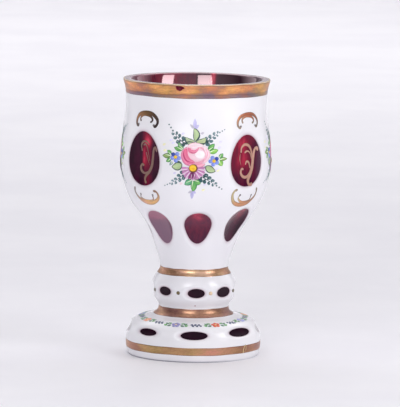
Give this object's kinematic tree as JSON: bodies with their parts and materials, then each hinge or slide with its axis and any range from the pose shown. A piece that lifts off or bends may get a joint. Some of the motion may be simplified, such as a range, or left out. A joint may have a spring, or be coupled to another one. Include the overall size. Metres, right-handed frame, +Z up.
{
  "type": "cut overlay glass vase",
  "caption": "Footed goblet-shaped vase of ruby glass under white overlay, with wheel-cut oval windows, a cut knop, a domed foot and gilt bands.",
  "frame": {"origin": "centre of the foot's flat ground base", "axes": "+Z up along the vase's axis, -Y towards the painted front"},
  "size_m": [0.0758, 0.0758, 0.14],
  "materials": {
    "ruby_glass": "polished deep ruby glass, seen against an opaque overlay",
    "white_overlay": "glossy opaque white overlay with a faint lavender cast",
    "fired_gilding": "satin fired gilding, rubbed and mottled",
    "painted_enamel": "fired opaque enamel paint with brush marks"
  },
  "bodies": {
    "root": {"ruby_foot": "ruby_glass", "ruby_knop": "ruby_glass", "ruby_bowl": "ruby_glass", "milk_foot_casing": "white_overlay", "milk_knop_casing": "white_overlay", "milk_bowl_casing": "white_overlay", "foot_gilt_band": "fired_gilding", "lower_waist_gilt_band": "fired_gilding", "upper_waist_gilt_band": "fired_gilding", "rim_gilt_band": "fired_gilding", "knop_gilt_dot_1": "fired_gilding", "knop_gilt_dot_2": "fired_gilding", "knop_gilt_dot_3": "fired_gilding", "knop_gilt_dot_4": "fired_gilding", "knop_gilt_dot_5": "fired_gilding", "knop_gilt_dot_6": "fired_gilding", "knop_gilt_dot_7": "fired_gilding", "knop_gilt_dot_8": "fired_gilding"}
  },
  "joints": []
}
